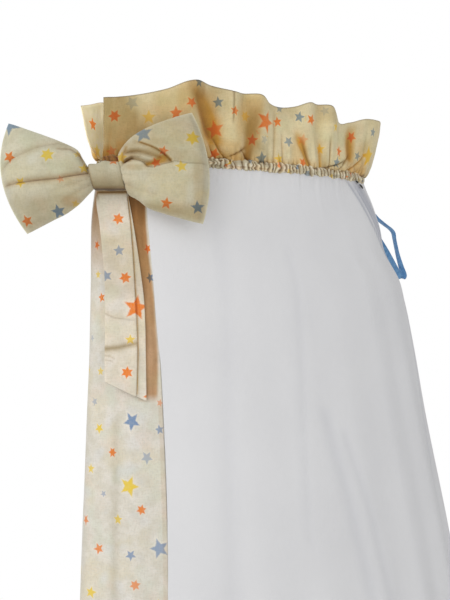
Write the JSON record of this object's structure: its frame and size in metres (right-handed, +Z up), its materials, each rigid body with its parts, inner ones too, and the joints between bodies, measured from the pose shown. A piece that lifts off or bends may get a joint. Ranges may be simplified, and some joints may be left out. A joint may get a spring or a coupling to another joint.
{
  "type": "mosquito net canopy",
  "caption": "Baby-cot net canopy: a sheer net under a gathered oval heading with a frill, star-print front edges, a padded bow with tails and a ribbon loop.",
  "frame": {"origin": "middle of the gathered channel at the canopy's back end, where a cot's canopy holder carries it", "axes": "+Z up, +Y from the open front towards the back, +X to the side on which the bow is sewn"},
  "size_m": [0.488, 0.8236, 1.6003],
  "materials": {
    "sheer_net": "fine white net with tiny holes, matte and a little see-through",
    "star_print": "matte cream cotton printed with small orange, yellow and grey-blue stars",
    "blue_ribbon": "blue satin ribbon, slightly glossy"
  },
  "bodies": {
    "root": {"net_panel": "sheer_net", "trim_near": "star_print", "trim_far": "star_print", "heading_frill": "star_print", "shirred_channel": "star_print", "bow_loops": "star_print", "bow_knot": "star_print", "tail_front": "star_print", "tail_back": "star_print", "ribbon_loop": "blue_ribbon"}
  },
  "joints": []
}
